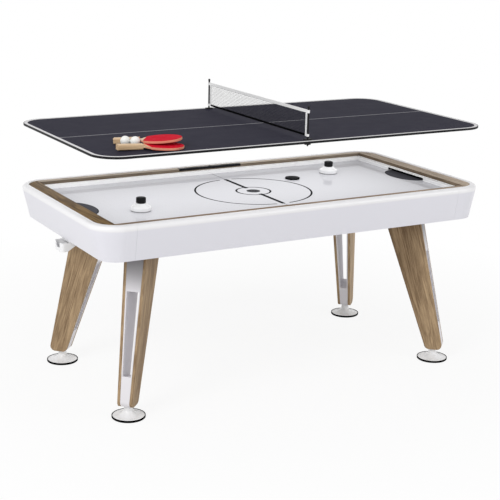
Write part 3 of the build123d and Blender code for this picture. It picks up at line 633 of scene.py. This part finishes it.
wallLook = {"bevel": 0.0006}
for node, finish in (("wall_near", whiteWall), ("wall_far", whiteWall),
                     ("wall_left", endWall), ("wall_right", endWall)):
    dress(node, finish, "white_panel", wallLook["bevel"])

for node, finish in (("playfield", fieldFinish), ("plenum_tray", trayBoard), ("leg_hardware", plainSteel),
                     ("blower_motor", plainSteel), ("blower_impeller", blackSatin)):
    repaint(node, finish)

castLook = {"bevel": 0.0008, "caseBevel": 0.0004, "buttonBevel": 0.0003}
for node in ("blower_housing", "power_inlet"):
    dress(node, blackSatin, "black_plastic", castLook["bevel"])
for node in ("puck_return_left", "puck_return_right"):
    dress(node, returnPlastic, "white_plastic", castLook["bevel"])
dress("scorer_case", blackGloss, "black_gloss", castLook["caseBevel"])
dress("scorer_button", blackSatin, "button_face", castLook["buttonBevel"])
print("table dressed")

# legs: two oak boards round white blocks, each leg in a vertical plane through its corner
legLook = {"bevel": 0.0008, "topInset": 0.186, "lowOffset": 0.010, "shiftEach": 0.61, "footSharp": 50}
legCorners = (("near_left", -1, -1), ("near_right", 1, -1), ("far_left", -1, 1), ("far_right", 1, 1))
for count, (corner, signX, signY) in enumerate(legCorners, 1):
    outward = Vector((signX, signY, 0)).normalized()
    footLow, footHigh = spanOf("foot_" + corner)
    legLow, legHigh = spanOf("leg_boards_" + corner)
    middle = (footLow + footHigh) / 2
    low = Vector((middle.x, middle.y, legLow.z)) + outward * legLook["lowOffset"]
    top = Vector((middle.x, middle.y, legHigh.z)) - outward * legLook["topInset"]
    along = top - low
    boards = dress("leg_boards_" + corner, legOak, "leg_board", legLook["bevel"])
    layGrain(boards, along, outward.cross(along).cross(along), low, legLook["shiftEach"] * count)
    dress("leg_blocks_" + corner, whiteBlock, "leg_block", legLook["bevel"])
    dress("foot_" + corner, whitePlastic, "white_plastic", sharp=legLook["footSharp"])
    dress("foot_ring_" + corner, ringRubber, "ring_rubber")
print("legs and feet dressed")

pusherLook = {"bevel": 0.0008, "sharp": 50}
for side in ("left", "right"):
    dress(side + "_pusher_base", whitePlastic, "white_plastic", **pusherLook)
    dress(side + "_pusher_knob", blackSatin, "black_gloss", **pusherLook)
    dress(side + "_pusher_felt", feltPad, "felt")
dress("puck", puckBlack, "black_gloss")

postLook = {"bevel": 0.0004, "nutBevel": 0.0006, "tapeBevel": 0.0004}
repaint("tennis_board", topFinish)
dress("tennis_edge_band", blackSatin, "edge_band")
for side in ("near", "far"):
    dress("net_post_" + side, blackSatin, "black_metal", postLook["bevel"])
    dress("net_nut_" + side, blackSatin, "black_plastic", postLook["nutBevel"])
dress("net_tape", tapeFinish, "white_tape", postLook["tapeBevel"])

# net cloth: one stretched sheet, a little slack between its ends
netLow, netHigh = spanOf("net_mesh")
netCloth = {"half": netHigh.y, "foot": netLow.z, "head": netHigh.z, "slack": 0.0003, "ripples": 9,
            "columns": 80, "rows": 10}


def makeNetCloth(look):
    mesh = bpy.data.meshes.new("netCloth")
    shape = bmesh.new()
    grid = []
    for row in range(look["rows"] + 1):
        up = row / look["rows"]
        line = []
        for column in range(look["columns"] + 1):
            along = column / look["columns"]
            drift = look["slack"] * math.sin(math.pi * up) * math.sin(look["ripples"] * math.pi * along)
            line.append(shape.verts.new((
                drift, -look["half"] + 2 * look["half"] * along,
                look["foot"] + (look["head"] - look["foot"]) * up)))
        grid.append(line)
    for lower, upper in zip(grid, grid[1:]):
        for corners in zip(lower, lower[1:], upper[1:], upper):
            shape.faces.new(corners)
    shape.to_mesh(mesh)
    shape.free()
    mesh.polygons.foreach_set("use_smooth", [True] * len(mesh.polygons))
    mesh.materials.append(netFinish)
    return addObject("netCloth", mesh)


cloth = makeNetCloth(netCloth)
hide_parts("net_mesh")
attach(cloth, "tennis_top")

# bats: their turn in degrees, and pink ply edges within reach of the blade's centre
batTurns = {"front_bat": -4.5, "back_bat": -35.0}
batLook = {"bladeReach": 0.088, "steep": 0.5, "grainShift": 0.4, "bevel": 0.0008, "sharp": 50,
           "rubberBevel": 0.0004}
for name, degrees in batTurns.items():
    wood = dress(name + "_wood", batWood, "bat_ply", batLook["bevel"], batLook["sharp"])
    turn = math.radians(degrees)
    layGrain(wood, (math.cos(turn), math.sin(turn), 0), (0, 0, 1), shift=batLook["grainShift"])
    bladeLow, bladeHigh = spanOf(name + "_rubber")
    blade = (bladeLow + bladeHigh) / 2
    wood.data.materials.append(batEdge)
    for face in wood.data.polygons:
        nearBlade = (face.center - blade).xy.length < batLook["bladeReach"]
        face.material_index = 1 if nearBlade and abs(face.normal.z) < batLook["steep"] else 0
    dress(name + "_rubber", rubberFinish, "red_rubber", batLook["rubberBevel"])

ballLook = {"sharp": 80}
for node in ("ball_low", "ball_high"):
    dress(node, ballFinish, "ball", **ballLook)
print("top, net, bats and balls dressed")

# what repeats: the playfield's air holes, flat discs just over its face
airHoleLook = {"corners": 10, "lift": 0.00008}
airHoles = {"Length": 1.575, "Width": 0.725, "Pitch": 0.025, "Radius": 0.0008,
            "Height": spanOf("playfield")[1].z + airHoleLook["lift"]}


def makeAirHoles(sizes, corners):
    tree = bpy.data.node_groups.new("airHoleGrid", "GeometryNodeTree")
    tree.interface.new_socket("Geometry", in_out="OUTPUT", socket_type="NodeSocketGeometry")
    for label in sizes:
        tree.interface.new_socket(label, in_out="INPUT", socket_type="NodeSocketFloat")
    tree.interface.new_socket("Finish", in_out="INPUT", socket_type="NodeSocketMaterial")
    ins = addNode(tree, "NodeGroupInput").outputs
    outs = addNode(tree, "NodeGroupOutput").inputs
    countX, countY = (sums(tree, "ADD", sums(tree, "DIVIDE", ins[label], ins["Pitch"]), 1.0)
                      for label in ("Length", "Width"))
    grid = addNode(tree, "GeometryNodeMeshGrid", {
        "Size X": ins["Length"], "Size Y": ins["Width"], "Vertices X": countX, "Vertices Y": countY})
    hole = addNode(tree, "GeometryNodeMeshCircle", {
        "Vertices": corners, "Radius": ins["Radius"]}, fill_type="NGON")
    copies = addNode(tree, "GeometryNodeInstanceOnPoints", {
        "Points": grid.outputs["Mesh"], "Instance": hole.outputs[0]})
    lift = addNode(tree, "ShaderNodeCombineXYZ", {"Z": ins["Height"]})
    raised = addNode(tree, "GeometryNodeTransform", {
        "Geometry": copies.outputs[0], "Translation": lift.outputs[0]})
    real = addNode(tree, "GeometryNodeRealizeInstances", {"Geometry": raised.outputs[0]})
    painted = addNode(tree, "GeometryNodeSetMaterial", {
        "Geometry": real.outputs[0], "Material": ins["Finish"]})
    feed(tree, outs["Geometry"], painted.outputs[0])
    return tree


def growPiece(name, tree, values, material):
    # runs the tree once and keeps the plain mesh it makes
    carrier = addObject(name + "Carrier", bpy.data.meshes.new(name + "Carrier"))
    modifier = carrier.modifiers.new("grow", "NODES")
    modifier.node_group = tree
    for item in tree.interface.items_tree:
        if item.in_out == "INPUT":
            modifier[item.identifier] = values.get(item.name, material)
    grown = bpy.data.meshes.new_from_object(carrier.evaluated_get(bpy.context.evaluated_depsgraph_get()))
    bpy.data.objects.remove(carrier)
    grown.name = name
    if not grown.materials:
        grown.materials.append(material)
    return addObject(name, grown)


holes = growPiece("airHoles", makeAirHoles(airHoles, airHoleLook["corners"]), airHoles, blackSatin)
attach(holes, "table")
print("air holes", len(holes.data.polygons))

# floor and world: white to the camera and in reflections, dimmer as light on the table
studio = {"floorSize": 14.0, "floorShare": 0.88, "fadeFrom": 1.0, "fadeOver": 1.4, "world": 0.55,
          "floorGrain": 40.0, "floorLow": (0.93, 0.93, 0.93, 1), "floorHigh": (0.95, 0.95, 0.95, 1),
          "white": (1, 1, 1, 1)}


def seenRays(tree):
    rays = addNode(tree, "ShaderNodeLightPath").outputs
    return either(tree, *(rays[kind] for kind in ("Is Camera Ray", "Is Glossy Ray", "Is Transmission Ray")))


def makeFloor(look):
    half = look["floorSize"] / 2
    corners = [(-half, -half, 0), (half, -half, 0), (half, half, 0), (-half, half, 0)]
    mesh = bpy.data.meshes.new("floor")
    mesh.from_pydata(corners, [], [(0, 1, 2, 3)])
    floor = addObject("floor", mesh)
    material, tree, shader = startMaterial("floorFinish")
    place = objectPlace(tree)
    away = addNode(tree, "ShaderNodeVectorMath", {0: place}, operation="LENGTH").outputs["Value"]
    faint = noiseAt(tree, place, look["floorGrain"])
    feed(tree, shader.inputs["Base Color"], mixColour(tree, faint, look["floorLow"], look["floorHigh"]))
    setSockets(shader, {"Roughness": 0.9, "Specular IOR Level": 0.0})
    far = sums(tree, "DIVIDE", sums(tree, "SUBTRACT", away, look["fadeFrom"]), look["fadeOver"], clamp=True)
    share = sums(tree, "MULTIPLY_ADD", far, 1 - look["floorShare"], look["floorShare"])
    glow = addNode(tree, "ShaderNodeEmission", {"Color": look["white"], "Strength": 1.0})
    blend = addNode(tree, "ShaderNodeMixShader", {
        0: times(tree, seenRays(tree), share), 1: shader.outputs[0], 2: glow.outputs[0]})
    feed(tree, tree.nodes["Material Output"].inputs["Surface"], blend.outputs[0])
    mesh.materials.append(material)


def makeWorld(look):
    world = bpy.data.worlds.new("studioWorld")
    bpy.context.scene.world = world
    world.use_nodes = True
    tree = world.node_tree
    back = tree.nodes["Background"]
    back.inputs["Color"].default_value = look["white"]
    feed(tree, back.inputs["Strength"], sums(
        tree, "MULTIPLY_ADD", seenRays(tree), 1 - look["world"], look["world"]))


makeFloor(studio)
makeWorld(studio)

# lamps in metres and watts; a soft panel just under the raised top evens out its shadow on the playfield
tableMiddle = (0, 0, 0.7)
boardLow = spanOf("tennis_board")[0].z
panelGap = 0.02
lamps = {
    "keyLamp": {"place": (-4.3, -1.9, 3.8), "aim": tableMiddle, "size": 2.2, "power": 118.0},
    "fillLamp": {"place": (2.8, -3.6, 2.2), "aim": tableMiddle, "size": 2.4, "power": 40.0},
    "underLamp": {"place": (0, 0, boardLow - panelGap), "aim": (0, 0, 0), "size": 1.5, "sizeY": 0.7,
                  "power": 4.6},
}


def addLamp(name, place, aim, size, power, sizeY=None):
    data = bpy.data.lights.new(name, "AREA")
    data.size = size
    data.energy = power
    if sizeY:
        data.shape = "RECTANGLE"
        data.size_y = sizeY
    lamp = addObject(name, data)
    lamp.location = place
    lamp.rotation_euler = (Vector(aim) - Vector(place)).to_track_quat("-Z", "Y").to_euler()
    return lamp


hung = {name: addLamp(name, **look) for name, look in lamps.items()}
panel = hung["underLamp"]
panel.visible_camera = panel.visible_glossy = panel.visible_transmission = False
bpy.context.scene.view_settings.view_transform = "Standard"
print("studio ready")
